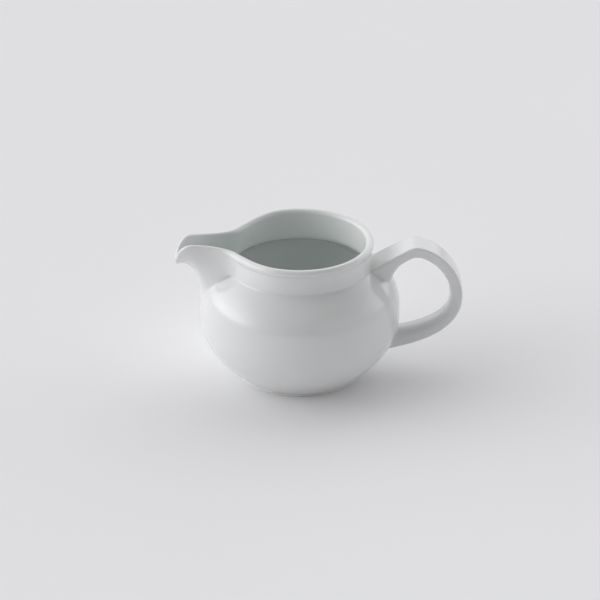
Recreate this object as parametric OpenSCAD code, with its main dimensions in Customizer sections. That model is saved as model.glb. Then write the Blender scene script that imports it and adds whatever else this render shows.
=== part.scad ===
// Small white porcelain pouring jug, about 200 ml: a squat round belly on a low foot ring,
// a short collar with a rolled rim, a scooped spout and an ear-shaped strap handle.
// The belly and the collar are one thin wall. The spout and the handle are separate casts,
// each stuck on with a layer of slip (liquid clay), and the foot ring is stuck on and turned.
// Frame, in millimetres: the origin is the centre of the foot, on the table. +Z is up,
// the handle points to +X and the spout to -X.

/* [Belly] */
// Largest outer diameter of the belly
belly_d = 85; // [80:1:105]
// Height of the widest place above the table
belly_z = 26; // [23:0.5:29]
// Thickness of the belly's wall and of its floor
belly_wall = 2.8; // [2:0.1:3.4]

/* [Foot] */
// Outer diameter of the foot ring
foot_d = 55; // [45:1:62]
// Height of the foot ring
foot_h = 1.2; // [0.8:0.1:2.5]
// Width of the band that the jug stands on
foot_band = 3.2; // [2.4:0.1:5]

/* [Collar and rim] */
// Overall height of the jug at the rim
jug_h = 60.8; // [57:0.2:73]
// Height of the crease where the shoulder turns up into the collar
crease_z = 49.3; // [44:0.1:52]
// Outer diameter of the collar
collar_d = 60.6; // [54:0.2:66]
// Thickness of the collar's wall
collar_wall = 2.4; // [2:0.1:3.2]
// Diameter of the rolled rim's round bead
rim_bead_d = 3.5; // [2.8:0.1:4.2]
// How far the bead stands out from the collar
rim_proud = 1.1; // [0.6:0.1:1.5]

/* [Spout] */
// Distance from the jug's axis to the pouring tip
spout_reach = 52.2; // [49:0.2:62]
// Height of the pouring tip's lowest point
tip_z = 50.2; // [48:0.2:53]
// Half of the width across the lips at the middle of the spout
lip_half_w = 7.4; // [6:0.1:9]
// Half of the width where the spout meets the shoulder
spout_root_half_w = 12.6; // [10:0.2:14]
// Thickness of the spout's wall
spout_wall = 2; // [1.6:0.1:2.4]

/* [Handle] */
// Distance from the jug's axis to the outermost point of the handle
handle_reach = 68.9; // [64:0.1:80]
// Height of the handle's highest point
handle_top_z = 59.5; // [57:0.1:62]
// Height of the lower end's centre on the belly
handle_low_z = 15.5; // [13:0.1:18]
// Width of the strap where it meets the shoulder
strap_root_w = 16; // [13:0.2:18]
// Width of the strap at its highest point
strap_top_w = 12.4; // [10:0.2:15]
// Width of the strap along the lower arm
strap_low_w = 10; // [8:0.2:13]
// Thickness of the strap at its highest point
strap_t = 5.6; // [4.4:0.1:7]
// Thickness of the strap where it meets the shoulder
strap_root_t = 10.5; // [8:0.1:12]
// Thickness of the strap at its lower end
strap_low_t = 8; // [6:0.1:9]

/* [Joints] */
// Thickness of the slip layer under the spout and under both ends of the handle
slip_t = 0.4; // [0.2:0.05:0.8]

/* [Hidden] */
$fn = 180;
GLAZED = [0.93, 0.94, 0.93];
BISQUE = [0.90, 0.88, 0.84];
SLIP = [0.86, 0.89, 0.87];

belly_r = belly_d / 2;
foot_r = foot_d / 2;
collar_r = collar_d / 2;
bead_r = rim_bead_d / 2;
bead_x = collar_r + rim_proud - bead_r;
bead_z = jug_h - bead_r;
crease_inner = [collar_r - collar_wall + 0.7, crease_z - belly_wall + 0.5];

function bezier(a, b, c, d, n) = [for (i = [0:n]) let (t = i / n)
    a * pow(1 - t, 3) + b * 3 * t * pow(1 - t, 2) + c * 3 * t * t * (1 - t) + d * pow(t, 3)];
function arc(x, z, r, from, to, n) = [for (i = [0:n]) let (a = from + (to - from) * i / n)
    [x + r * cos(a), z + r * sin(a)]];
function but_first(list) = [for (i = [1:len(list) - 1]) list[i]];

// Outer outline of the belly and the shoulder, from the foot up to the crease
function belly_outline(n) = concat(
    bezier([foot_r, foot_h], [foot_r + 2.8, foot_h + 2.9], [belly_r, belly_z * 0.52],
        [belly_r, belly_z], n),
    but_first(bezier([belly_r, belly_z], [belly_r, belly_z + (crease_z - belly_z) * 0.5],
        [collar_r + (belly_r - collar_r) * 0.95, crease_z - 7.6], [collar_r, crease_z], n)));

// Outline of the hollow, from the middle of the floor up to the crease
function hollow_outline(n) = concat(
    bezier([0, foot_h + belly_wall + 0.6], [foot_r, foot_h + belly_wall + 0.4],
        [belly_r - belly_wall, belly_z * 0.6], [belly_r - belly_wall, belly_z], n),
    but_first(bezier([belly_r - belly_wall, belly_z],
        [belly_r - belly_wall, belly_z + (crease_z - belly_z) * 0.45],
        crease_inner + [(belly_r - collar_r) * 0.8, -6.4], crease_inner, n)));

bead_start = -acos((bead_r - rim_proud) / bead_r);
rim_outline = concat(arc(bead_x, bead_z, bead_r, bead_start, 180, 14));
under_floor = [[0, foot_h + 0.8], [foot_r - foot_band - 0.8, foot_h + 0.6], [foot_r - foot_band, foot_h]];

// Everything inside the jug's outer surface, grown sideways by gap
module outer_form(gap = 0) {
    outline = concat(belly_outline(12), rim_outline);
    rotate_extrude()
        polygon(concat([[0, foot_h]], [for (p = outline) [p.x + gap, p.y]], [[0, jug_h]]));
}

module wall_of_revolution() {
    hollow = hollow_outline(12);
    rotate_extrude()
        polygon(concat(under_floor, belly_outline(12), rim_outline,
            [for (i = [len(hollow) - 1:-1:0]) hollow[i]]));
}

// The spout is a wall that runs from one side of the collar, round the pouring tip, to the other.
// Its foot follows a curve on the shoulder, its top is the lip.
SIDE_STEPS = 9;
TIP_STEPS = 9;
UP_STEPS = 9;
lip_neck = collar_r - 1.3;  // where the lip leaves the collar
lip_turn = 44;       // where the lip starts to fall towards the tip
lip_flare = 8.2;
lip_drop = 0.8;      // the lips lie this much below the rim

function lip_half(x) = lip_half_w - 2.25 + lip_flare * exp((lip_neck - 4 - x) / 5.2);
// Lip, from the collar to the tip, on the +Y side
lip_curve = concat(
    [for (i = [0:SIDE_STEPS]) let (x = lip_neck - 2.5 + (lip_turn - lip_neck + 2.5) * i / SIDE_STEPS)
        [-x, lip_half(x) + spout_wall / 2, jug_h - lip_drop]],
    but_first(bezier([-lip_turn, lip_half(lip_turn) + spout_wall / 2, jug_h - lip_drop],
        [-spout_reach + 2.4, lip_half(lip_turn) + 0.6, jug_h - lip_drop + 0.6],
        [-spout_reach - 0.1, 3.6, tip_z + 0.9], [-spout_reach, 0, tip_z], TIP_STEPS)));
// Foot of the spout's wall, sunk a little into the shoulder, on the +Y side
root_reach = belly_r - 1;
root_curve = bezier([-lip_neck + 2.5, spout_root_half_w + 0.4, crease_z - 1.5],
    [-lip_neck - 10, spout_root_half_w - 0.4, crease_z - 5],
    [-root_reach + 0.4, spout_root_half_w * 0.25, crease_z - 10],
    [-root_reach + 0.6, 0, crease_z - 12], SIDE_STEPS + TIP_STEPS);

HALF = SIDE_STEPS + TIP_STEPS;
function mirror_y(p) = [p.x, -p.y, p.z];
function both_sides(curve) = concat(curve, [for (i = [HALF - 1:-1:0]) mirror_y(curve[i])]);
lip_line = both_sides(lip_curve);
root_line = both_sides(root_curve);
ROWS = 2 * HALF;

// One line up the wall, from foot to lip: straight at the collar, hollow under the tip
function wall_line(i) = let (b = root_line[i], t = lip_line[i],
    keel = 1 - abs(i - HALF) / HALF, k = pow(keel, 1.5))
    bezier(b, b + [-0.5 * k, -b.y * 0.3 * k, (t.z - b.z) * (0.33 + 0.4 * k)],
        t + [(spout_reach - root_reach) * 0.8 * k, -t.y * 0.2 * k, -(t.z - b.z) * 0.33 * (1 - k)],
        t, UP_STEPS);
outer_wall = [for (i = [0:ROWS]) wall_line(i)];
function unit(v) = v / norm(v);
function wall_normal(i, j) = let (
    along = outer_wall[min(i + 1, ROWS)][j] - outer_wall[max(i - 1, 0)][j],
    up = outer_wall[i][min(j + 1, UP_STEPS)] - outer_wall[i][max(j - 1, 0)],
    n = cross(along, up), level = j == UP_STEPS ? pow(1 - abs(i - HALF) / HALF, 2) : 1)
    unit([n.x, n.y, n.z * level]);
inner_wall = [for (i = [0:ROWS]) [for (j = [0:UP_STEPS])
    outer_wall[i][j] + spout_wall * wall_normal(i, j)]];

module spout_form() {
    cols = UP_STEPS + 1;
    inner_at = (ROWS + 1) * cols;
    points = concat([for (row = outer_wall, p = row) p], [for (row = inner_wall, p = row) p]);
    function at(i, j) = i * cols + j;
    sides = [for (i = [0:ROWS - 1], j = [0:UP_STEPS - 1], s = [0, 1]) let (
        a = at(i, j), b = at(i + 1, j), c = at(i + 1, j + 1), d = at(i, j + 1), k = s * inner_at)
        each s == 0 ? [[a, b, c], [a, c, d]] : [[a + k, c + k, b + k], [a + k, d + k, c + k]]];
    edges = [for (i = [0:ROWS - 1], j = [0, UP_STEPS]) let (
        a = at(i, j), b = at(i + 1, j), k = inner_at)
        each j == 0 ? [[a, b + k, b], [a, a + k, b + k]] : [[a, b, b + k], [a, b + k, a + k]]];
    ends = [for (i = [0, ROWS], j = [0:UP_STEPS - 1]) let (
        a = at(i, j), b = at(i, j + 1), k = inner_at)
        each i == 0 ? [[a, b, b + k], [a, b + k, a + k]] : [[a, b + k, b], [a, a + k, b + k]]];
    polyhedron(points, concat(sides, edges, ends));
}

// Opening through the collar and the shoulder under the spout
module spout_opening() {
    half = concat([[-18, 18]], bezier([-lip_neck + 2, spout_root_half_w - 3],
        [-lip_neck - 8, spout_root_half_w - 3.2], [-root_reach + 3.4, 3.6], [-root_reach + 3.4, 0], 8));
    translate([0, 0, crease_z - 14])
        linear_extrude(jug_h)
            polygon(concat(half, [for (i = [len(half) - 2:-1:0]) [half[i].x, -half[i].y]]));
}

// The handle is a strap swept along its outer face. Each station has a place, a width and a depth.
ARM_STEPS = 8;
BOW_STEPS = 16;
arm_start = [collar_r - 3, crease_z - 1.5];
apex = [48, handle_top_z];
side = [handle_reach, 35.5];
low_end = [belly_r - 5.5, handle_low_z - strap_low_t / 2 - 0.8];
arm_line = bezier(arm_start, arm_start + (apex - arm_start) * 0.35,
    apex - [4.4, 1.2], apex, ARM_STEPS);
bow_line = bezier(apex, [apex.x + (side.x - apex.x) * 0.52, apex.y - 0.6],
    [side.x, side.y + (apex.y - side.y) * 0.5], side, BOW_STEPS);
low_line = bezier(side, [side.x, side.y - 11], [side.x - 8.2, low_end.y + 4.6], low_end, BOW_STEPS);
strap_line = concat(arm_line, but_first(bow_line), but_first(low_line));
STATIONS = len(strap_line) - 1;
TOP = ARM_STEPS / STATIONS;

function strap_width(s) = lookup(s, [[0, strap_root_w], [TOP, strap_top_w],
    [0.55, strap_low_w + 0.6], [0.75, strap_low_w], [1, strap_low_w + 0.6]]);
function strap_depth(s) = lookup(s, [[0, strap_root_t + 1], [TOP * 0.2, strap_root_t],
    [TOP * 0.45, (strap_root_t + strap_t) / 2], [TOP * 0.65, strap_t + 0.4], [TOP, strap_t],
    [0.5, strap_t - 0.2], [0.7, strap_t], [0.85, (strap_t + strap_low_t) / 2], [1, strap_low_t]]);
// Flat outer face with rounded edges, half-round inner face
CORNER_STEPS = 3;
BACK_STEPS = 10;
edge_r = 1.3;
function strap_section(w, d) = let (r = edge_r, h = w / 2) concat(
    [for (i = [0:CORNER_STEPS]) let (a = 90 - 90 * i / CORNER_STEPS)
        [h - r + r * cos(a), -r + r * sin(a)]],
    [for (i = [1:BACK_STEPS - 1]) let (a = 180 * i / BACK_STEPS)
        [h * sign(cos(a)) * pow(abs(cos(a)), 0.75), -r - (d - r) * pow(sin(a), 0.75)]],
    [for (i = [0:CORNER_STEPS]) let (a = 180 - 90 * i / CORNER_STEPS)
        [-h + r + r * cos(a), -r + r * sin(a)]]);

module strap_form() {
    rings = [for (i = [0:STATIONS]) let (
        p = strap_line[i], s = i / STATIONS,
        along = unit(strap_line[min(i + 1, STATIONS)] - strap_line[max(i - 1, 0)]),
        out = [-along.y, along.x])
        [for (q = strap_section(strap_width(s), strap_depth(s)))
            [p.x + out.x * q.y, q.x, p.y + out.y * q.y]]];
    n = len(rings[0]);
    faces = [for (i = [0:STATIONS - 1], j = [0:n - 1]) let (
        a = i * n + j, b = i * n + (j + 1) % n, c = a + n, d = b + n)
        each [[a, d, b], [a, c, d]]];
    caps = [[for (j = [0:n - 1]) j], [for (j = [n - 1:-1:0]) STATIONS * n + j]];
    polyhedron([for (ring = rings, p = ring) p], concat(faces, caps));
}

// Half space that holds the handle's upper end, or its lower end
module end_zone(upper) {
    translate([0, -20, upper ? 32 : 0])
        cube([80, 40, upper ? 40 : 32]);
}

module body() {
    color(GLAZED)
        difference() {
            wall_of_revolution();
            spout_opening();
        }
}

module foot_ring() {
    color(BISQUE)
        rotate_extrude()
            polygon([[foot_r - foot_band, foot_h], [foot_r - foot_band + 0.3, 0.3],
                [foot_r - foot_band + 0.7, 0], [foot_r - 0.7, 0], [foot_r - 0.3, 0.3],
                [foot_r, foot_h]]);
}

module spout() {
    color(GLAZED)
        difference() {
            spout_form();
            outer_form(slip_t);
        }
}

module spout_slip_joint() {
    color(SLIP)
        difference() {
            intersection() {
                spout_form();
                outer_form(slip_t);
            }
            outer_form();
            spout_opening();
        }
}

module handle() {
    color(GLAZED)
        difference() {
            strap_form();
            outer_form(slip_t);
        }
}

module handle_slip_joint(upper) {
    color(SLIP)
        difference() {
            intersection() {
                strap_form();
                outer_form(slip_t);
                end_zone(upper);
            }
            outer_form();
        }
}

module upper_handle_slip_joint() {
    handle_slip_joint(true);
}

module lower_handle_slip_joint() {
    handle_slip_joint(false);
}

body();
foot_ring();
spout();
spout_slip_joint();
handle();
upper_handle_slip_joint();
lower_handle_slip_joint();
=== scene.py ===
"""White porcelain pouring jug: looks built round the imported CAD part, in the same frame, in metres.
The cast jug is one thin shell of revolution whose rim was pulled out into a scooped spout. The spout,
its joint, the strap handle, its two joints and the foot ring are separate pieces."""

import math

import bmesh
import bpy
import numpy as np
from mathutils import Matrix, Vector


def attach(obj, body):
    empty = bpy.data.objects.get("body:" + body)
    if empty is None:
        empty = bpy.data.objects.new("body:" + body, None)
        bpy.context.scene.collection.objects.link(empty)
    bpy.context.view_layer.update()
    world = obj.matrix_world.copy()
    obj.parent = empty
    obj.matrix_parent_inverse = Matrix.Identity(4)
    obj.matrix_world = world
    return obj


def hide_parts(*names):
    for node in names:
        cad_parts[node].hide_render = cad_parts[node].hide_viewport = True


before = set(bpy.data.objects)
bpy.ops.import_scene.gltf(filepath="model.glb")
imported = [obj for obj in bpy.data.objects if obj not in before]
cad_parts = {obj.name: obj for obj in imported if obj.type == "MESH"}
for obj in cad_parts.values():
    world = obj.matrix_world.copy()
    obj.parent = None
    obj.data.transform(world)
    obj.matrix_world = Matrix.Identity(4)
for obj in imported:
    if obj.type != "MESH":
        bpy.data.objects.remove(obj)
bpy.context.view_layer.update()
MM = 0.001

# ---------------------------------------------------------------- sizes, in millimetres
BELLY_R = 42.5
BELLY_Z = 26.0
FOOT_R = 27.5
FOOT_H = 1.2
FOOT_BAND = 3.2
RIM_H = 60.8
CREASE_Z = 49.3
COLLAR_R = 30.3
BELLY_WALL = 2.8
COLLAR_WALL = 2.4
LIP_WALL = 1.9
BEAD_R = 1.75
BEAD_OUT = 0.42
PULL = math.radians(75)  # the rim is drawn out over this much to each side of the spout
SPOUT_ROOT_Z = 34.8      # how low the spout starts on the shoulder
KEEL_RISE = 11.4         # how far the spout's underside climbs before it leans out,
KEEL_LEAD = 7.3          # and how far it runs up to the tip
HOLD = 0.34              # the belly's rows stay level up to this share of its outline
INSIDE_FROM = 0.13       # the inside's wall starts above the floor, at this share
SPOUT_EDGE = 0.6         # the spout's seam lies this far past the valley, along the rim
COLUMNS = 216

# the pieces' tags while they are still one surface
JUG_TAG, SPOUT_TAG, SPOUT_SEAM_TAG = 0, 1, 2
STRAP_TAG, UPPER_TAG, LOWER_TAG = 0, 1, 2
CUT_TAG = -1             # a face that closes a cut


def bezier(a, b, c, d, t):
    a, b, c, d = (np.asarray(p, float) for p in (a, b, c, d))
    t = np.asarray(t, float)[..., None]
    return a * (1 - t) ** 3 + 3 * b * t * (1 - t) ** 2 + 3 * c * t * t * (1 - t) + d * t ** 3


def smooth(x):
    x = np.clip(x, 0, 1)
    return x * x * (3 - 2 * x)


def unit(v):
    return v / np.maximum(np.linalg.norm(v, axis=-1, keepdims=True), 1e-12)


# ---------------------------------------------------------------- the jug's outline
_t = np.linspace(0, 1, 400)
_low = bezier((FOOT_R, FOOT_H), (FOOT_R + 2.8, FOOT_H + 2.9), (BELLY_R, BELLY_Z * 0.52), (BELLY_R, BELLY_Z), _t)
_up = bezier((BELLY_R, BELLY_Z), (BELLY_R, BELLY_Z + (CREASE_Z - BELLY_Z) * 0.5),
             (COLLAR_R + (BELLY_R - COLLAR_R) * 0.95, CREASE_Z - 7.6), (COLLAR_R, CREASE_Z), _t)
OUTLINE = np.vstack([_low, _up[1:]])
_len = np.concatenate([[0], np.cumsum(np.linalg.norm(np.diff(OUTLINE, axis=0), axis=1))])
OUTLINE_LENGTH = _len[-1]
_len = _len / OUTLINE_LENGTH


def outline(m):
    """Radius and height of the belly at a share m of the way from the foot to the crease."""
    return np.interp(m, _len, OUTLINE[:, 0]), np.interp(m, _len, OUTLINE[:, 1])


def share_at_height(z):
    return np.interp(z, OUTLINE[:, 1], _len)


# ---------------------------------------------------------------- the rim, from the tip round to the round part
_steps = np.linspace(0, 1, 200)
LIP_CORNER, LIP_ROOT = (-44, 5.35, 60.4), (-26.5, 11.75, 59.95)
_front = bezier((-52.2, 0, 50.1), (-53.0, 3.0, 50.6), (-51.9, 5.4, 61.4), LIP_CORNER, _steps)
_side = bezier(LIP_CORNER, (-35, 5.9, 60.45), (-29.34, 8.43, 59.9), LIP_ROOT, _steps)
_round = np.array([-math.cos(PULL), math.sin(PULL), 0]) * (COLLAR_R - COLLAR_WALL / 2) + [0, 0, RIM_H]
_before = _round + np.array([-math.sin(PULL), -math.cos(PULL), 0]) * 9 + [0, 0, -0.2]
_flare = bezier(LIP_ROOT, (-21.6, 17.7, 60.05), _before, _round, _steps)
RIM = np.vstack([_front, _side[1:], _flare[1:]])
_s = np.concatenate([[0], np.cumsum(np.linalg.norm(np.diff(RIM, axis=0), axis=1))])
RIM_LENGTH = _s[-1]
FRONT = _s[len(_steps) - 1]             # where the lip turns down to the tip
VALLEY = _s[2 * len(_steps) - 2] - 2.2  # where the spout's side meets the collar


def rim_at(s):
    return np.stack([np.interp(s, _s, RIM[:, k]) for k in range(3)], -1)


def rim_frame(s):
    """Middle of the rim's edge, the way out of the wall and the way up the wall, at length s from the tip."""
    p = rim_at(s)
    ahead, behind = rim_at(np.minimum(s + 0.4, RIM_LENGTH)), rim_at(np.maximum(s - 0.4, 0))
    along = unit(ahead - behind)
    near_tip = (1 - smooth(s / 3.0))[..., None]
    along = unit(along * (1 - near_tip) + np.array([0, 1.0, 0]) * near_tip)
    turn = (1 - smooth(s / (FRONT + 2.5)))[..., None]
    up = unit(np.array([0, 0, 1.0]) * (1 - turn) + np.array([-0.93, 0, 0.37]) * turn)
    up = unit(up - along * (up * along).sum(-1, keepdims=True))
    return p, np.cross(up, along), up


# ---------------------------------------------------------------- rows of the shell
BELLY_ROWS = np.concatenate([np.linspace(0.012, 0.36, 13), np.linspace(0.36, 0.80, 13)[1:],
                             [0.835, 0.868, 0.898, 0.925, 0.948, 0.967, 0.983]])
WALL_ROWS = np.array([0.085, 0.19, 0.34, 0.52, 0.72, 0.88])
BEAD_ROWS = np.linspace(0, 1, 11)
FLOOR_ROWS = [(31.5, 8.2), (28.3, 6.3), (24.5, 5.3), (19, 4.85), (12, 4.65), (5, 4.6), (0.6, 4.6)]
UNDER_ROWS = [(0.6, 2.0), (6, 2.0), (13, 1.98), (19, 1.92), (22.4, 1.8), (23.7, 1.6), (24.1, 1.28), (24.3, 1.2),
              (25.8, 1.2), (27.2, 1.2), (27.55, 1.28)]


def ring_shell(name, rings, columns):
    """An open shell made ring by ring: a circle, then an extrusion and a resize for each ring."""
    bpy.ops.mesh.primitive_circle_add(vertices=columns, radius=rings[0][0] * MM, fill_type="NOTHING",
                                      location=(0, 0, rings[0][1] * MM))
    obj = bpy.context.object
    obj.name = obj.data.name = name
    bpy.ops.object.transform_apply(location=True, rotation=True, scale=True)
    bpy.ops.object.mode_set(mode="EDIT")
    bpy.ops.mesh.select_all(action="SELECT")
    for (r0, z0), (r1, z1) in zip(rings, rings[1:]):
        bpy.ops.mesh.extrude_region_move(TRANSFORM_OT_translate={"value": (0, 0, (z1 - z0) * MM)})
        bpy.ops.transform.resize(value=(r1 / r0, r1 / r0, 1), center_override=(0, 0, z1 * MM))
    bpy.ops.object.mode_set(mode="OBJECT")
    return obj


def pulled_rows():
    """Every row of the shell as points, with the rim drawn out into the spout.
    Returns the rows and how far each column is from the tip along the rim."""
    ang = 2 * math.pi * np.arange(COLUMNS) / COLUMNS  # column 0 points along +X
    off = np.abs(((ang + 2 * math.pi) % (2 * math.pi)) - math.pi)  # angle from the spout's side
    flip = np.where(ang <= math.pi, 1.0, -1.0)
    u = np.minimum(off / PULL, 1)
    s = RIM_LENGTH * (1.15 * u - 0.15 * u ** 3)
    pulled = off < PULL

    edge, out, up = rim_frame(s)
    az = off[:, None]
    turned = np.concatenate([-np.cos(az), np.sin(az), 0 * az], 1)
    edge = np.where(pulled[:, None], edge, turned * (COLLAR_R - COLLAR_WALL / 2) + [0, 0, RIM_H])
    out = np.where(pulled[:, None], out, turned)
    up = np.where(pulled[:, None], up, np.array([0, 0, 1.0]))

    lip = np.where(pulled, 1 - smooth((s - VALLEY + 5) / 10), 0.0)  # 1 on the spout's lips, 0 on the round rim
    half = (COLLAR_WALL * (1 - lip) + LIP_WALL * lip) / 2
    bead = BEAD_R * (1 - lip) + half * lip
    shift = BEAD_OUT * (1 - lip)
    start = -np.arccos(np.clip((half - shift) / bead, -1, 1))
    centre = edge - up * bead[:, None] + out * shift[:, None]
    top = centre + bead[:, None] * (np.cos(start)[:, None] * out + np.sin(start)[:, None] * up)

    # foot of the wall: the crease, which drops along the shoulder under the spout
    top_az = np.arctan2(top[:, 1], -top[:, 0])
    valley_az = np.interp(VALLEY, s[pulled][np.argsort(s[pulled])], top_az[pulled][np.argsort(s[pulled])])
    v = np.clip(s / VALLEY, 0, 1)
    under = pulled & (s < VALLEY)
    foot_az = np.where(under, valley_az * v, np.where(pulled, top_az, off))
    drop = (CREASE_Z - SPOUT_ROOT_Z) * (1 - v ** 1.65)
    foot_z = np.where(under, CREASE_Z - drop, CREASE_Z)
    foot_m = share_at_height(foot_z)
    foot_m = np.where(foot_z >= CREASE_Z - 1e-6, 1.0, foot_m)
    # soften the corner where the crease leaves the ring
    order = np.argsort(off)
    for _ in range(3):
        fm = foot_m[order]
        fm[1:-1] = (fm[:-2] + 2 * fm[1:-1] + fm[2:]) / 4
        foot_m[order] = fm
    foot_r, foot_z = outline(foot_m)
    foot = np.stack([-foot_r * np.cos(foot_az), foot_r * np.sin(foot_az), foot_z], 1)

    rows = []
    for m in BELLY_ROWS:
        w = smooth((m - HOLD) / (1 - HOLD))
        r, z = outline(np.where(m < HOLD, m, HOLD + (m - HOLD) * (foot_m - HOLD) / (1 - HOLD)))
        a = off * (1 - w) + foot_az * w
        rows.append(np.stack([-r * np.cos(a), r * np.sin(a), z], 1))
    rows.append(foot)
    gap = np.linalg.norm(top - foot, axis=1, keepdims=True)
    keel = np.where(pulled, 1 - smooth(s / (VALLEY * 0.75)), 0.0)[:, None]
    rise = gap / 3 * (1 - keel) + KEEL_RISE * keel
    lead = gap / 3 * (1 - keel) + KEEL_LEAD * keel
    for t in WALL_ROWS:
        a0, a1 = foot, foot + np.array([0, 0, 1.0]) * rise
        a2, a3 = top - up * lead, top
        rows.append(a0 * (1 - t) ** 3 + 3 * a1 * t * (1 - t) ** 2 + 3 * a2 * t * t * (1 - t) + a3 * t ** 3)
    outer = np.array(rows)
    # round off the spout's sides, between its foot and its lip
    signed = outer.copy()
    signed[..., 1] *= flip[None]
    n_belly = len(BELLY_ROWS)
    share = np.where(pulled & (s < VALLEY + 3), 1.0, 0.0)[None, :, None] * 0.5
    held = np.zeros(len(outer))
    held[n_belly + 1:] = np.sin(np.pi * WALL_ROWS) ** 0.5
    for _ in range(14):
        beside = (np.roll(signed, 1, 1) + np.roll(signed, -1, 1)) / 2
        signed += (beside - signed) * share * held[:, None, None]
    # a soft hollow where the spout grows out of the shoulder
    soft = (lip * smooth((VALLEY + 2 - s) / 6))[None, :, None] * 0.5
    for _ in range(4):
        band = slice(n_belly - 4, n_belly + 4)
        nearby = (signed[n_belly - 5:n_belly + 3] + signed[n_belly - 3:n_belly + 5]) / 2
        signed[band] += (nearby - signed[band]) * soft
    outer = signed.copy()
    outer[..., 1] *= flip[None]

    # the inside follows the outside at the wall's thickness
    grid = np.concatenate([outer, top[None]], 0)
    signed = grid.copy()
    signed[..., 1] *= flip[None]
    along = np.roll(signed, -1, 1) - np.roll(signed, 1, 1)
    rise_dir = np.empty_like(signed)
    rise_dir[1:-1] = signed[2:] - signed[:-2]
    rise_dir[0] = signed[1] - signed[0]
    rise_dir[-1] = signed[-1] - signed[-2]
    normal = unit(np.cross(along, rise_dir))
    normal *= np.sign((normal[5] * signed[5]).sum(-1)).mean()
    thick = np.empty(grid.shape[:2])
    thick[:n_belly] = BELLY_WALL
    thick[n_belly] = (BELLY_WALL + COLLAR_WALL) / 2
    thick[n_belly + 1:] = COLLAR_WALL * (1 - lip) + LIP_WALL * lip
    near = np.linspace(0, 1, 6)[:, None]
    thick[n_belly - 5:n_belly + 1] = BELLY_WALL * (1 - lip * near) + LIP_WALL * lip * near
    inner = signed - normal * thick[..., None]

    all_rows = [np.stack([r * np.cos(ang), r * np.sin(ang), np.full(COLUMNS, z)], 1) for r, z in UNDER_ROWS]
    all_rows += list(signed[:-1])
    for k in BEAD_ROWS:
        a = start + (math.pi - start) * k
        p = centre + bead[:, None] * (np.cos(a)[:, None] * out + np.sin(a)[:, None] * up)
        p[:, 1] *= flip
        all_rows.append(p)
    keep = [j for j in range(len(inner) - 1) if BELLY_ROWS[min(j, n_belly - 1)] > INSIDE_FROM or j >= n_belly]
    all_rows += [inner[j] for j in reversed(keep)]
    all_rows += [np.stack([r * np.cos(ang), r * np.sin(ang), np.full(COLUMNS, z)], 1) for r, z in FLOOR_ROWS]
    rim_s = np.where(pulled, s, RIM_LENGTH + 10.0)
    return all_rows, rim_s


rows, rim_s = pulled_rows()
CREASE_ROW = len(UNDER_ROWS) + len(BELLY_ROWS)
INNER_CREASE_ROW = CREASE_ROW + 1 + len(WALL_ROWS) + len(BEAD_ROWS) + len(WALL_ROWS)
profile = [(float(np.hypot(*r[0][:2])), float(r[0][2])) for r in rows]
shell = ring_shell("whole_shell", profile, COLUMNS)
coords = np.concatenate(rows) * MM
shell.data.vertices.foreach_set("co", coords.ravel())


def tag_faces(obj, values, name):
    a = obj.data.attributes.new(name, "INT", "FACE")
    a.data.foreach_set("value", values.astype(np.int32))


# which piece each face belongs to
vert_row = np.repeat(np.arange(len(rows)), COLUMNS)
vert_col = np.tile(np.arange(COLUMNS), len(rows))
tags = np.zeros(len(shell.data.polygons), int)
for p in shell.data.polygons:
    lowest_row = min(vert_row[i] for i in p.vertices)
    from_tip = max(rim_s[vert_col[i]] for i in p.vertices)
    if CREASE_ROW <= lowest_row < INNER_CREASE_ROW and from_tip < VALLEY + SPOUT_EDGE:
        tags[p.index] = SPOUT_TAG
tag_faces(shell, tags, "piece")


def subdivide(obj, levels):
    """Smooths the piece by subdivision, applied."""
    bpy.ops.object.select_all(action="DESELECT")
    obj.select_set(True)
    bpy.context.view_layer.objects.active = obj
    m = obj.modifiers.new("smooth", "SUBSURF")
    m.levels = m.render_levels = levels
    bpy.ops.object.modifier_apply(modifier=m.name)
    bpy.ops.object.shade_smooth()


def outward(obj):
    bm = bmesh.new()
    bm.from_mesh(obj.data)
    bmesh.ops.recalc_face_normals(bm, faces=bm.faces)
    bm.to_mesh(obj.data)
    bm.free()


def hollows(obj, rounds=3):
    """Stores on each vertex how hollow (+) or proud (-) the surface is there, in 1/mm, smoothed a little."""
    me = obj.data
    n = len(me.vertices)
    co = np.empty(n * 3)
    no = np.empty(n * 3)
    me.vertices.foreach_get("co", co)
    me.vertex_normals.foreach_get("vector", no)
    co, no = co.reshape(-1, 3) / MM, no.reshape(-1, 3)
    e = np.empty(len(me.edges) * 2, int)
    me.edges.foreach_get("vertices", e)
    e = e.reshape(-1, 2)
    first, second = e[:, 0], e[:, 1]
    count = np.maximum(np.bincount(e.ravel(), minlength=n), 1)

    def gather(to_first, to_second):
        """The mean on each vertex of what its edges bring."""
        return (np.bincount(first, to_first, n) + np.bincount(second, to_second, n)) / count

    d = co[second] - co[first]
    length2 = np.maximum((d * d).sum(1), 1e-6)
    k = gather((d * no[first]).sum(1) / length2 * 2, -(d * no[second]).sum(1) / length2 * 2)
    for _ in range(rounds):
        k = (k + gather(k[second], k[first])) / 2
    a = me.attributes.new("hollow", "FLOAT", "POINT")
    a.data.foreach_set("value", k.astype(np.float32))


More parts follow.
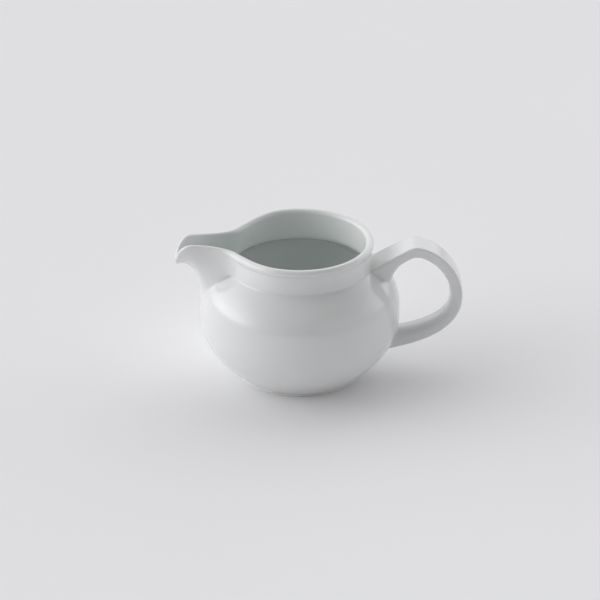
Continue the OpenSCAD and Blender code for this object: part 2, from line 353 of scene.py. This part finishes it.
def poured(obj):
    """Marks the inside of the jug and the spout, where the glaze was poured and lies thicker."""
    me = obj.data
    n = len(me.vertices)
    co, no = np.empty(n * 3), np.empty(n * 3)
    me.vertices.foreach_get("co", co)
    me.vertex_normals.foreach_get("vector", no)
    co, no = co.reshape(-1, 3) / MM, no.reshape(-1, 3)
    inward = -(co[:, 0] * no[:, 0] + co[:, 1] * no[:, 1]) / np.maximum(np.hypot(co[:, 0], co[:, 1]), 1)
    share = smooth((inward + 0.05) / 0.5) * (co[:, 2] > 4)
    share = np.maximum(share, ((no[:, 2] > 0.2) & (co[:, 2] < 40) & (co[:, 2] > 4) & (inward > -0.3)) * 1.0)
    me.attributes.new("poured", "FLOAT", "POINT").data.foreach_set("value", share.astype(np.float32))


def keep_normals(obj):
    """Stores the smooth normals, so that a piece cut from this surface still shades as part of it."""
    me = obj.data
    no = np.empty(len(me.vertices) * 3, np.float32)
    me.vertex_normals.foreach_get("vector", no)
    a = me.attributes.new("whole", "FLOAT_VECTOR", "POINT")
    a.data.foreach_set("vector", no)


def edge_loops(bm):
    """The open edges as closed rings of vertices."""
    left = dict.fromkeys(e for e in bm.edges if e.is_boundary)  # keeps their order, so each run is the same
    loops = []
    while left:
        e = next(iter(left))
        del left[e]
        ring = [e.verts[0], e.verts[1]]
        while True:
            nxt = next((x for x in ring[-1].link_edges if x in left), None)
            if nxt is None:
                break
            del left[nxt]
            ring.append(nxt.other_vert(ring[-1]))
        if ring[0] == ring[-1]:
            ring.pop()
        loops.append(ring)
    return loops


def close_poles(obj):
    """A fan to a middle vertex at each open end of a ring shell."""
    bm = bmesh.new()
    bm.from_mesh(obj.data)
    for ring in edge_loops(bm):
        mid = bm.verts.new(sum((v.co for v in ring), Vector()) / len(ring))
        for a, b in zip(ring, ring[1:] + ring[:1]):
            bm.faces.new((a, b, mid)).smooth = True
    bmesh.ops.recalc_face_normals(bm, faces=bm.faces)
    bm.to_mesh(obj.data)
    bm.free()


def cut_out(obj, tag, name, across_wall=False):
    """A copy of obj with only the faces of that tag, its cuts closed, shaded as the whole surface was."""
    new = obj.copy()
    new.data = obj.data.copy()
    new.name = new.data.name = name
    bpy.context.collection.objects.link(new)
    bm = bmesh.new()
    bm.from_mesh(new.data)
    layer = bm.faces.layers.int["piece"]
    bmesh.ops.delete(bm, geom=[f for f in bm.faces if f[layer] != tag], context="FACES")
    bmesh.ops.delete(bm, geom=[v for v in bm.verts if not v.link_faces], context="VERTS")
    for ring in edge_loops(bm):
        n = len(ring)
        if across_wall:
            co = np.array([v.co[:] for v in ring])
            k = min(range(n), key=lambda c: np.linalg.norm(
                co[(c + np.arange(1, n // 2)) % n] - co[(c - np.arange(1, n // 2)) % n], axis=1).sum())
            made = []
            for i in range(n // 2):
                quad = []
                for j in (k + i, k + i + 1, k - i - 1, k - i):
                    if ring[j % n] not in quad:
                        quad.append(ring[j % n])
                if len(quad) > 2:
                    made.append(bm.faces.new(quad))
        else:
            made = [bm.faces.new(ring)]
        for f in made:
            f[layer] = CUT_TAG
            f.smooth = False
    bmesh.ops.recalc_face_normals(bm, faces=bm.faces)
    bm.to_mesh(new.data)
    bm.free()
    me = new.data
    whole = np.empty(len(me.vertices) * 3, np.float32)
    me.attributes["whole"].data.foreach_get("vector", whole)
    whole = whole.reshape(-1, 3)
    at = np.empty(len(me.loops), int)
    me.loops.foreach_get("vertex_index", at)
    loops = whole[at]
    marks = np.empty(len(me.polygons), int)
    me.attributes["piece"].data.foreach_get("value", marks)
    for p in me.polygons:
        if marks[p.index] == CUT_TAG:
            loops[p.loop_start:p.loop_start + p.loop_total] = p.normal[:]
    me.normals_split_custom_set(loops.tolist())
    for n in ("whole", "piece"):
        me.attributes.remove(me.attributes[n])
    return new


def tag_seam(obj, inside, seam):
    """Faces tagged inside that touch another tag become the seam's own."""
    bm = bmesh.new()
    bm.from_mesh(obj.data)
    layer = bm.faces.layers.int["piece"]
    hit = [f for f in bm.faces if f[layer] == inside
           and any(g[layer] != inside for e in f.edges for g in e.link_faces)]
    for f in hit:
        f[layer] = seam
    bm.to_mesh(obj.data)
    bm.free()


subdivide(shell, 1)
close_poles(shell)
tag_seam(shell, SPOUT_TAG, SPOUT_SEAM_TAG)
hollows(shell)
poured(shell)
keep_normals(shell)
body = cut_out(shell, JUG_TAG, "jug_shell", across_wall=True)
spout = cut_out(shell, SPOUT_TAG, "scooped_spout", across_wall=True)
spout_seam = cut_out(shell, SPOUT_SEAM_TAG, "spout_seam", across_wall=True)
bpy.data.objects.remove(shell)

# ---------------------------------------------------------------- strap handle
ARM = ((27.3, 47.8), (34.545, 51.895), (43.6, 58.3), (48.0, 59.5))
BOW = ((48.0, 59.5), (58.87, 58.9), (68.9, 47.5), (68.9, 35.5))
LOW = ((68.9, 35.5), (68.9, 24.5), (60.7, 15.3), (37.0, 10.7))
APEX, SIDE = 0.2, 0.6  # where the three curves meet, as shares of the strap
RINGS = 52
UPPER_FILLET, LOWER_FILLET = 0.022, 0.026  # how much of the strap each root takes up
FILLET_ROWS = (0.0, 0.16, 0.34, 0.54, 0.76)
_g = np.linspace(0, 1, 401)


def strap_line(s):
    s = np.asarray(s, float)
    a = bezier(*ARM, np.clip(s / APEX, 0, 1))
    b = bezier(*BOW, np.clip((s - APEX) / (SIDE - APEX), 0, 1))
    c = bezier(*LOW, np.clip((s - SIDE) / (1 - SIDE), 0, 1))
    return np.where((s < APEX)[..., None], a, np.where((s < SIDE)[..., None], b, c))


def softened(curve, width):
    """The curve with its sudden turns eased over that many steps; its ends stay put."""
    k = np.hanning(width) / np.hanning(width).sum()
    h = width // 2
    wide = np.vstack([2 * curve[0] - curve[h:0:-1], curve, 2 * curve[-1] - curve[-2:-h - 2:-1]])
    return np.stack([np.convolve(wide[:, c], k, "valid") for c in range(curve.shape[1])], 1)


_line = softened(strap_line(_g), 25)


def eased(stops, values, width=33):
    k = np.hanning(width) / np.hanning(width).sum()
    at = np.linspace(-0.08, 1.08, 465)
    h = width // 2
    return np.interp(_g, at[h:-h], np.convolve(np.interp(at, stops, values), k, "valid"))


STRAP_W = eased((0, APEX, 0.55, 0.75, 1), (16, 12.4, 10.6, 10, 10.6))
STRAP_D = eased((0, 0.05, 0.08, 0.105, 0.16, APEX, 0.26, 0.5, 0.7, 0.85, 1),
                (11.6, 10.6, 7.6, 6.1, 6.0, 6.5, 5.9, 5.4, 5.6, 6.8, 8), 13)
STRAP_EDGE = eased((0, 0.25, 0.45, 0.7, 1), (0.75, 0.85, 1.3, 1.7, 1.5))
_tan = unit(softened(unit(np.gradient(_line, axis=0)), 49))


def strap_section():
    """Points round the strap: over the flat face (shares of its width), then a corner, the rounded back and a
    corner (degrees)."""
    pts = [("flat", v) for v in (-0.66, -0.33, 0, 0.33, 0.66)]
    pts += [("corner+", v) for v in (90, 60, 30, 0)]
    pts += [("back", v) for v in (14, 32, 52, 72, 90, 108, 128, 148, 166)]
    pts += [("corner-", v) for v in (180, 150, 120, 90)]
    return pts


SECTION = strap_section()


def strap_points(kind, value):
    """One line of the strap from end to end: across, and out from the strap's face."""
    h, d, r = STRAP_W / 2, STRAP_D, STRAP_EDGE
    if kind == "flat":
        y, n = value * (h - r), 0 * h
    elif kind == "back":
        c, s = math.cos(math.radians(value)), math.sin(math.radians(value))
        y, n = h * math.copysign(abs(c) ** 0.72, c), -r - (d - r) * s ** 0.78
    else:
        c, s = math.cos(math.radians(value)), math.sin(math.radians(value))
        y, n = (1 if kind[-1] == "+" else -1) * (h - r) + r * c, -r + r * s
    return np.stack([_line[:, 0] - _tan[:, 1] * n, y, _line[:, 1] + _tan[:, 0] * n], 1)


def jug_radius(z):
    return np.where(z > CREASE_Z, COLLAR_R, np.interp(z, OUTLINE[:, 1], OUTLINE[:, 0]))


def jug_normal(p):
    az = np.arctan2(p[:, 1], p[:, 0])
    dr = (jug_radius(p[:, 2] + 0.3) - jug_radius(p[:, 2] - 0.3)) / 0.6
    return unit(np.stack([np.cos(az), np.sin(az), -dr], 1))


def to_jug(p, sink):
    """The same place on the jug's outer surface, sunk a little."""
    for _ in range(8):
        n = jug_normal(p)
        gap = (np.hypot(p[:, 0], p[:, 1]) - jug_radius(p[:, 2])) * np.hypot(n[:, 0], n[:, 1])
        p = p - n * gap[:, None]
    return p - jug_normal(p) * sink


def strap_rings():
    """The strap's rings from the jug's shoulder round to its belly, with a fillet at each end."""
    lines = [strap_points(*k) for k in SECTION]

    def at(k, s):
        return np.stack([np.interp(s, _g, lines[k][:, c]) for c in range(3)], -1)

    first, last = [], []
    for p in lines:
        out = np.hypot(p[:, 0], p[:, 1]) - jug_radius(p[:, 2])
        free = np.flatnonzero(out > 0)
        first.append(_g[free[0]])
        last.append(_g[free[-1]])
    ends = []
    for where, sign, reach in ((first, 1, UPPER_FILLET), (last, -1, LOWER_FILLET)):
        q = np.array([at(k, where[k]) for k in range(len(lines))])
        a = np.array([at(k, where[k] + sign * reach) for k in range(len(lines))])
        mid = q.mean(0)
        n = jug_normal(q)
        away = q - mid
        away = unit(away - n * (away * n).sum(1, keepdims=True))
        below = smooth((mid[2] - q[:, 2] + 2) / 6)[:, None]
        size = (0.8 + 0.5 * below) if sign > 0 else 1.3
        f = to_jug(q + away * size, 0.15)
        ends.append([bezier(f, f + (q - f) * 0.75, a + (q - a) * 0.75, a, t) for t in FILLET_ROWS])
    rings = ends[0]
    for g in np.linspace(0, 1, RINGS):
        along = [(a + UPPER_FILLET) * (1 - g) + (b - LOWER_FILLET) * g for a, b in zip(first, last)]
        rings.append(np.array([at(k, s) for k, s in enumerate(along)]))
    return rings + ends[1][::-1]


strap = strap_rings()
n_sec = len(SECTION)
bpy.ops.mesh.primitive_circle_add(vertices=n_sec, radius=6 * MM, fill_type="NOTHING", location=(0, 0, 0))
handle_all = bpy.context.object
handle_all.name = handle_all.data.name = "whole_handle"
bpy.ops.object.mode_set(mode="EDIT")
bpy.ops.mesh.select_all(action="SELECT")
for _ in strap[1:]:
    bpy.ops.mesh.extrude_region_move(TRANSFORM_OT_translate={"value": (0, 0, MM)})
bpy.ops.object.mode_set(mode="OBJECT")
handle_all.data.vertices.foreach_set("co", (np.concatenate(strap) * MM).ravel())
outward(handle_all)
root_rows = len(FILLET_ROWS)
ring_of = [min(i // n_sec for i in p.vertices) for p in handle_all.data.polygons]
tag_faces(handle_all, np.array([UPPER_TAG if r < root_rows else LOWER_TAG if r >= len(strap) - root_rows - 1
                                else STRAP_TAG for r in ring_of]), "piece")
subdivide(handle_all, 2)
hollows(handle_all, 6)
keep_normals(handle_all)
handle = cut_out(handle_all, STRAP_TAG, "strap_handle")
upper_seam = cut_out(handle_all, UPPER_TAG, "upper_handle_seam")
lower_seam = cut_out(handle_all, LOWER_TAG, "lower_handle_seam")
bpy.data.objects.remove(handle_all)

# ---------------------------------------------------------------- foot ring
_rise = [(0.05, 0.7), (0.25, 0.28), (0.6, 0.06), (0.95, 0.0)]  # in from each side of the band, and height
FOOT_ROWS = [(FOOT_R - FOOT_BAND, FOOT_H)] + [(FOOT_R - FOOT_BAND + a, z) for a, z in _rise]
FOOT_ROWS += [(FOOT_R - FOOT_BAND / 2, 0.0)] + [(FOOT_R - a, z) for a, z in reversed(_rise)] + [(FOOT_R, FOOT_H)]
foot_ring = ring_shell("bare_foot_ring", FOOT_ROWS, 144)
bpy.ops.object.mode_set(mode="EDIT")
bpy.ops.mesh.select_all(action="DESELECT")
bpy.ops.mesh.select_non_manifold()
bpy.ops.mesh.bridge_edge_loops()
bpy.ops.mesh.select_all(action="SELECT")
bpy.ops.mesh.normals_make_consistent(inside=False)
bpy.ops.object.mode_set(mode="OBJECT")
subdivide(foot_ring, 1)

for piece, nodes in ((body, ("body",)), (spout, ("spout",)), (spout_seam, ("spout_slip_joint",)),
                     (handle, ("handle",)), (upper_seam, ("upper_handle_slip_joint",)),
                     (lower_seam, ("lower_handle_slip_joint",)), (foot_ring, ("foot_ring",))):
    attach(piece, "root")
    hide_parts(*nodes)


# ---------------------------------------------------------------- materials
class Nodes:
    """Short calls for building a node tree."""

    def __init__(self, tree):
        self.tree = tree

    def add(self, kind, **settings):
        node = self.tree.nodes.new(kind)
        for k, v in settings.items():
            setattr(node, k, v)
        return node

    def put(self, socket, value):
        if isinstance(value, bpy.types.NodeSocket):
            self.tree.links.new(value, socket)
        else:
            socket.default_value = value

    def maths(self, op, a, b):
        n = self.add("ShaderNodeMath", operation=op)
        self.put(n.inputs[0], a)
        self.put(n.inputs[1], b)
        return n.outputs[0]

    def mix(self, share, a, b):
        n = self.add("ShaderNodeMix", data_type="RGBA")
        self.put(n.inputs[0], share)
        self.put(n.inputs[6], a)
        self.put(n.inputs[7], b)
        return n.outputs[2]

    def noise(self, where, scale, detail=2.0, rough=0.5):
        n = self.add("ShaderNodeTexNoise")
        self.put(n.inputs["Vector"], where)
        n.inputs["Scale"].default_value = scale
        n.inputs["Detail"].default_value = detail
        n.inputs["Roughness"].default_value = rough
        return n.outputs[0]

    def span(self, value, lo, hi, out_lo=0.0, out_hi=1.0):
        n = self.add("ShaderNodeMapRange", clamp=True, interpolation_type="SMOOTHSTEP")
        self.put(n.inputs[0], value)
        for i, v in enumerate((lo, hi, out_lo, out_hi)):
            n.inputs[i + 1].default_value = v
        return n.outputs[0]


def group(name):
    """A node group that gives a colour, a roughness and a height, with its output and the place on the piece."""
    g = bpy.data.node_groups.new(name, "ShaderNodeTree")
    for out, kind in (("Colour", "Color"), ("Roughness", "Float"), ("Height", "Float")):
        g.interface.new_socket(name=out, in_out="OUTPUT", socket_type="NodeSocket" + kind)
    n = Nodes(g)
    return g, n, n.add("NodeGroupOutput"), n.add("ShaderNodeTexCoord").outputs["Object"]


def glaze_group(name, pool_and_shade_strength, pool_and_shade_tint):
    """White glaze over porcelain: colour, roughness and height, from the surface's own place and its hollows.
    The hollows get a darker, greener colour that is partly glaze pooling and partly painted shade.
    """
    g, n, out, here = group(name)
    bend = n.add("ShaderNodeAttribute", attribute_name="hollow").outputs["Fac"]
    cloud = n.noise(here, 38.0, 3.0)
    drift = n.noise(here, 9.0, 2.0)
    # painted shade: hollows, creases and joints are darkened and tinted green, partly real glaze pooling and
    # partly the shade that falls there
    pool_and_shade_mask = n.span(n.maths("ADD", bend, n.maths("MULTIPLY", n.maths("SUBTRACT", cloud, 0.5), 0.06)), 0.05, 0.75)
    thin = n.span(bend, -0.35, -1.1)
    inside = n.add("ShaderNodeAttribute", attribute_name="poured").outputs["Fac"]
    base = n.mix(n.span(drift, 0.35, 0.65), (0.800, 0.808, 0.804, 1), (0.816, 0.822, 0.818, 1))
    base = n.mix(inside, base, (0.787, 0.822, 0.804, 1))
    base = n.mix(n.maths("MULTIPLY", pool_and_shade_mask, pool_and_shade_strength), base, pool_and_shade_tint)
    base = n.mix(n.maths("MULTIPLY", thin, 0.35), base, (0.88, 0.872, 0.85, 1))
    speck = n.span(n.noise(here, 1150.0, 1.0), 0.80, 0.86)
    base = n.mix(n.maths("MULTIPLY", speck, 0.25), base, (0.45, 0.42, 0.37, 1))
    n.put(out.inputs["Colour"], base)
    scuff = n.span(n.noise(here, 160.0, 6.0, 0.62), 0.45, 0.75, 0.0, 0.035)
    n.put(out.inputs["Roughness"], n.maths("ADD", n.maths("ADD", 0.05, scuff), n.maths("MULTIPLY", thin, 0.05)))
    wave = n.noise(here, 70.0, 1.0)
    peel = n.maths("MULTIPLY", n.noise(here, 420.0, 2.0), 0.12)
    pits = n.maths("MULTIPLY", n.span(n.noise(here, 900.0, 0.0), 0.76, 0.86), -0.25)
    n.put(out.inputs["Height"], n.maths("ADD", n.maths("ADD", wave, peel), pits))
    return g


def bisque_group():
    """Bare fired clay with the grit and scuffing of a foot that is slid over tables."""
    g, n, out, here = group("bare clay")
    grain = n.noise(here, 2600.0, 4.0, 0.65)
    patch = n.noise(here, 140.0, 4.0)
    base = n.mix(n.span(patch, 0.35, 0.7), (0.87, 0.867, 0.857, 1), (0.84, 0.834, 0.82, 1))
    base = n.mix(n.span(grain, 0.55, 0.75, 0.0, 0.35), base, (0.66, 0.645, 0.61, 1))
    n.put(out.inputs["Colour"], base)
    n.put(out.inputs["Roughness"], n.span(grain, 0.3, 0.7, 0.62, 0.86))
    n.put(out.inputs["Height"], n.maths("ADD", grain, n.maths("MULTIPLY", patch, 0.6)))
    return g


def paper_group():
    """Pale matt sheet for the jug to stand on."""
    g, n, out, here = group("pale sheet")
    fibre = n.noise(here, 900.0, 5.0, 0.6)
    n.put(out.inputs["Colour"], n.mix(n.span(n.noise(here, 4.0), 0.3, 0.7), (0.892, 0.893, 0.897, 1),
                                      (0.902, 0.903, 0.907, 1)))
    n.put(out.inputs["Roughness"], n.span(fibre, 0.3, 0.7, 0.60, 0.70))
    n.put(out.inputs["Height"], fibre)
    return g


def finish_with(name, tree, bump, distance, ior):
    """A material whose colour, roughness and bump come from that node group."""
    mat = bpy.data.materials.new(name)
    mat.use_nodes = True
    n = Nodes(mat.node_tree)
    shader = next(x for x in mat.node_tree.nodes if x.type == "BSDF_PRINCIPLED")
    g = n.add("ShaderNodeGroup")
    g.node_tree = tree
    n.put(shader.inputs["Base Color"], g.outputs["Colour"])
    n.put(shader.inputs["Roughness"], g.outputs["Roughness"])
    b = n.add("ShaderNodeBump")
    b.inputs["Strength"].default_value = bump
    b.inputs["Distance"].default_value = distance
    n.put(b.inputs["Height"], g.outputs["Height"])
    n.put(shader.inputs["Normal"], b.outputs[0])
    shader.inputs["IOR"].default_value = ior
    return mat


# the hollow tint is glaze pooling plus painted shade, stronger and darker on the seam pieces
glaze = finish_with("white glaze", glaze_group("porcelain glaze", 0.30, (0.70, 0.755, 0.74, 1)),
                    0.35, 0.00012, ior=1.56)
seam_glaze = finish_with("glaze over slip with painted shade", glaze_group("glaze over slip with painted shade", 0.75, (0.55, 0.68, 0.65, 1)),
                         0.45, 0.00016, ior=1.56)
bisque = finish_with("bare fired clay", bisque_group(), 0.5, 0.0001, ior=1.45)
sheet = finish_with("pale sheet", paper_group(), 0.15, 0.0001, ior=1.35)

for piece in (body, spout, handle, spout_seam, upper_seam, lower_seam, foot_ring):
    piece.data.materials.clear()
for piece in (body, spout, handle):
    piece.data.materials.append(glaze)
for piece in (spout_seam, upper_seam, lower_seam):
    piece.data.materials.append(seam_glaze)
foot_ring.data.materials.append(bisque)
for name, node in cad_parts.items():
    node.data.materials.clear()
    node.data.materials.append(bisque if name == "foot_ring" else seam_glaze if "joint" in name else glaze)

# ---------------------------------------------------------------- floor, light and camera
bpy.ops.mesh.primitive_plane_add(size=9, location=(0, 0, 0))
floor = bpy.context.object
floor.name = floor.data.name = "floor"
floor.data.materials.append(sheet)


# Soft light from all round, strongest on the spout's side: (turn from the camera's side towards the handle,
# height, both in degrees; how tight; strength)
SOFT_LIGHT = ((-91, 13, 6, 3.45), (135, 12, 6, 1.75), (-135, 12, 6, 0.85), (90, 12, 6, 0.28), (0, 12, 6, 0.05),
              (-45, 12, 6, 0.16), (180, 48, 5, 1.10), (0, 52, 5, 0.20), (-90, 48, 5, 0.12), (-70, 9, 50, 0.7))
PANEL = 0.5  # strength of the white card that stands on the handle's side


def way(turn, height):
    t, h = math.radians(turn), math.radians(height)
    return math.sin(t) * math.cos(h), -math.cos(t) * math.cos(h), math.sin(h)


world = bpy.data.worlds.new("room")
world.use_nodes = True
room = Nodes(world.node_tree)
looking = room.add("ShaderNodeTexCoord").outputs["Generated"]


def towards(turn, height):
    dot = room.add("ShaderNodeVectorMath", operation="DOT_PRODUCT")
    room.put(dot.inputs[0], looking)
    dot.inputs[1].default_value = way(turn, height)
    return dot.outputs["Value"]


total = None
for turn, height, tight, strength in SOFT_LIGHT:
    lobe = room.maths("POWER", room.maths("MAXIMUM", towards(turn, height), 0.0), float(tight))
    lobe = room.maths("MULTIPLY", lobe, strength)
    total = lobe if total is None else room.maths("ADD", total, lobe)
card = room.maths("MULTIPLY", room.span(towards(117, 0), -0.01, 0.015), room.span(towards(32, 0), -0.02, 0.25))
card = room.maths("MULTIPLY", card, room.span(towards(0, 90), 0.62, 0.57))
total = room.maths("ADD", total, room.maths("MULTIPLY", card, PANEL))
total = room.maths("MULTIPLY", total, room.span(towards(0, 90), -0.02, 0.20, 0.45, 1.0))  # dimmer low down
back = world.node_tree.nodes["Background"]
back.inputs[0].default_value = (0.998, 0.996, 1.012, 1)
room.put(back.inputs[1], total)
bpy.context.scene.world = world
bpy.context.scene.view_settings.view_transform = "Standard"

cam_data = bpy.data.cameras.new("camera")
cam_data.sensor_width = 36
cam_data.lens = 212.3  # a long lens, well back
cam_data.shift_x = 0.0005
cam_data.shift_y = 0.0067
camera = bpy.data.objects.new("camera", cam_data)
bpy.context.collection.objects.link(camera)
tilt = math.radians(27.31)  # how far the camera looks down
aim = Vector((0, 0, 0.030))
distance = 1.5
camera.location = aim + Vector((0, -math.cos(tilt), math.sin(tilt))) * distance
camera.rotation_euler = (math.pi / 2 - tilt, 0, 0)
bpy.context.scene.camera = camera
